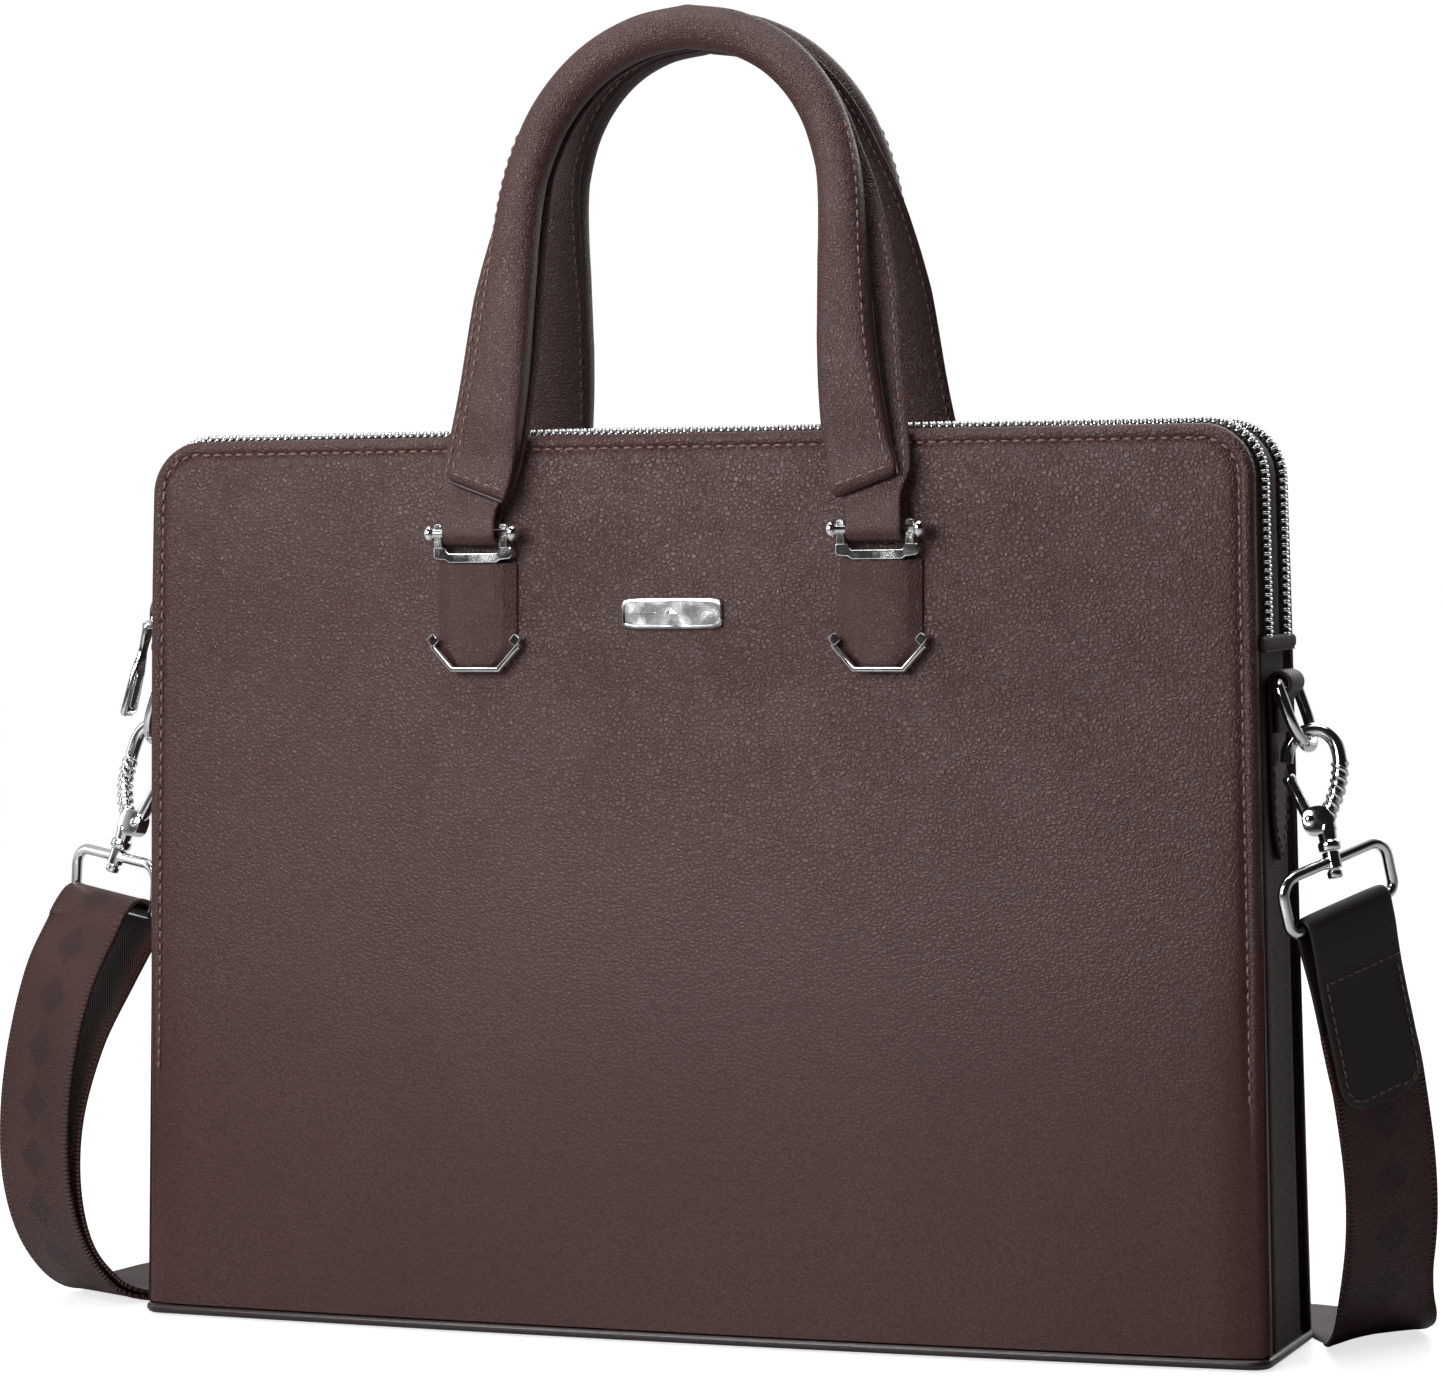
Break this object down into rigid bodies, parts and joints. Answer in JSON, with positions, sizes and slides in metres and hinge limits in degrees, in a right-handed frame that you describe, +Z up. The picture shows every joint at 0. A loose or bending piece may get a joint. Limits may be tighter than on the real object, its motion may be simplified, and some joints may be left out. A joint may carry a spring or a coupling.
{
  "type": "briefcase",
  "caption": "Slim double-zip leather briefcase with two rolled top handles on chrome mounts and a clip-on webbing shoulder strap.",
  "frame": {"origin": "centre of the base underside, on the surface that the bag stands on", "axes": "+X to the viewer's right along the front face, the front face looks to -Y, +Z up"},
  "size_m": [0.4787, 0.1265, 0.4233],
  "materials": {
    "leather": "pebbled chocolate-brown coated leather, satin",
    "dark_leather": "smooth dark brown leather and zip tape",
    "lining_cloth": "woven lining cloth",
    "board": "fibre stiffener board",
    "chrome": "polished chrome plate",
    "zip_metal": "bright nickel zip teeth",
    "webbing": "brown satin-woven strap webbing"
  },
  "bodies": {
    "bag": {"front_panel": "leather", "front_board": "board", "front_lining": "lining_cloth", "rear_panel": "leather", "rear_board": "board", "rear_lining": "lining_cloth", "base_panel": "leather", "base_board": "board", "base_piping": "dark_leather", "centre_strip": "leather", "front_zip_tape": "dark_leather", "front_zip_chain": "zip_metal", "rear_zip_tape": "dark_leather", "rear_zip_chain": "zip_metal", "left_gusset": "leather", "right_gusset": "leather", "left_zip_end_tab": "leather", "right_zip_end_tab": "leather", "divider": "lining_cloth", "badge_plate": "chrome", "front_left_mount_plate": "leather", "front_left_mount_trim": "chrome", "front_left_mount_bracket": "chrome", "front_left_mount_pin": "chrome", "front_right_mount_plate": "leather", "front_right_mount_trim": "chrome", "front_right_mount_bracket": "chrome", "front_right_mount_pin": "chrome", "rear_left_mount_plate": "leather", "rear_left_mount_trim": "chrome", "rear_left_mount_bracket": "chrome", "rear_left_mount_pin": "chrome", "rear_right_mount_plate": "leather", "rear_right_mount_trim": "chrome", "rear_right_mount_bracket": "chrome", "rear_right_mount_pin": "chrome", "left_loop_tab": "leather", "right_loop_tab": "leather", "strap_webbing": "webbing", "strap_end_leather": "leather", "strap_slider": "chrome"},
    "front_handle": {"front_handle_strap": "leather", "front_handle_grip": "leather", "front_handle_core": "board"},
    "front_slider": {"front_zip_slider": "chrome"},
    "front_pull": {"front_zip_pull": "chrome"},
    "rear_handle": {"rear_handle_strap": "leather", "rear_handle_grip": "leather", "rear_handle_core": "board"},
    "rear_slider": {"rear_zip_slider": "chrome"},
    "rear_pull": {"rear_zip_pull": "chrome"},
    "left_d_ring": {"left_d_ring": "chrome"},
    "left_strap_ring": {"left_strap_ring": "chrome"},
    "left_snap_hook": {"left_snap_hook": "chrome"},
    "left_hook_gate": {"left_hook_gate": "chrome"},
    "right_d_ring": {"right_d_ring": "chrome"},
    "right_strap_ring": {"right_strap_ring": "chrome"},
    "right_snap_hook": {"right_snap_hook": "chrome"},
    "right_hook_gate": {"right_hook_gate": "chrome"}
  },
  "joints": [
    {"name": "front_handle_swing", "type": "hinge", "parent": "bag", "child": "front_handle", "pos_m": [0, -0.03076, 0.256], "axis": [1, 0, 0], "range_deg": [0, 130]},
    {"name": "rear_handle_swing", "type": "hinge", "parent": "bag", "child": "rear_handle", "pos_m": [0, 0.03076, 0.256], "axis": [-1, 0, 0], "range_deg": [0, 130]},
    {"name": "front_zip_slide", "type": "slide", "parent": "bag", "child": "front_slider", "axis": [0.0157, 0, 0.9999], "range_m": [0, 0.03]},
    {"name": "front_pull_swing", "type": "hinge", "parent": "front_slider", "child": "front_pull", "pos_m": [-0.19348, -0.0115, 0.2265], "axis": [0, 1, 0], "range_deg": [0, 120]},
    {"name": "rear_zip_slide", "type": "slide", "parent": "bag", "child": "rear_slider", "axis": [0.0157, 0, 0.9999], "range_m": [0, 0.03]},
    {"name": "rear_pull_swing", "type": "hinge", "parent": "rear_slider", "child": "rear_pull", "pos_m": [-0.19348, 0.0115, 0.2265], "axis": [0, 1, 0], "range_deg": [0, 120]},
    {"name": "left_d_ring_swing", "type": "hinge", "parent": "bag", "child": "left_d_ring", "pos_m": [-0.18975, 0, 0.2075], "axis": [0, 1, 0], "range_deg": [-2.5, 0]},
    {"name": "left_strap_ring_tilt", "type": "hinge", "parent": "bag", "child": "left_strap_ring", "pos_m": [-0.2125, -0.003, 0.132], "axis": [0.8939, -0.436, -0.1045], "range_deg": [-1.2, 1.2]},
    {"name": "left_hook_swivel", "type": "hinge", "parent": "left_strap_ring", "child": "left_snap_hook", "pos_m": [-0.2109, -0.00378, 0.14891], "axis": [0.331, 0.0895, 0.9394], "range_deg": [-15, 15]},
    {"name": "left_gate_swing", "type": "hinge", "parent": "left_snap_hook", "child": "left_hook_gate", "pos_m": [-0.20263, -0.00363, 0.16014], "axis": [-0.2051, -0.9649, 0.1642], "range_deg": [0, 10], "stiffness_Nm_per_rad": 0.02},
    {"name": "right_d_ring_swing", "type": "hinge", "parent": "bag", "child": "right_d_ring", "pos_m": [0.18975, 0, 0.2075], "axis": [0, -1, 0], "range_deg": [-2.5, 0]},
    {"name": "right_strap_ring_tilt", "type": "hinge", "parent": "bag", "child": "right_strap_ring", "pos_m": [0.2075, -0.002, 0.137], "axis": [0.5401, 0.8008, 0.2588], "range_deg": [-0.2, 1.2]},
    {"name": "right_hook_swivel", "type": "hinge", "parent": "right_strap_ring", "child": "right_snap_hook", "pos_m": [0.20504, -0.00565, 0.15342], "axis": [-0.2222, 0.1547, 0.9627], "range_deg": [-15, 15]},
    {"name": "right_gate_swing", "type": "hinge", "parent": "right_snap_hook", "child": "right_hook_gate", "pos_m": [0.19803, -0.00432, 0.1654], "axis": [-0.1367, 0.9726, -0.1878], "range_deg": [0, 20], "stiffness_Nm_per_rad": 0.02}
  ]
}
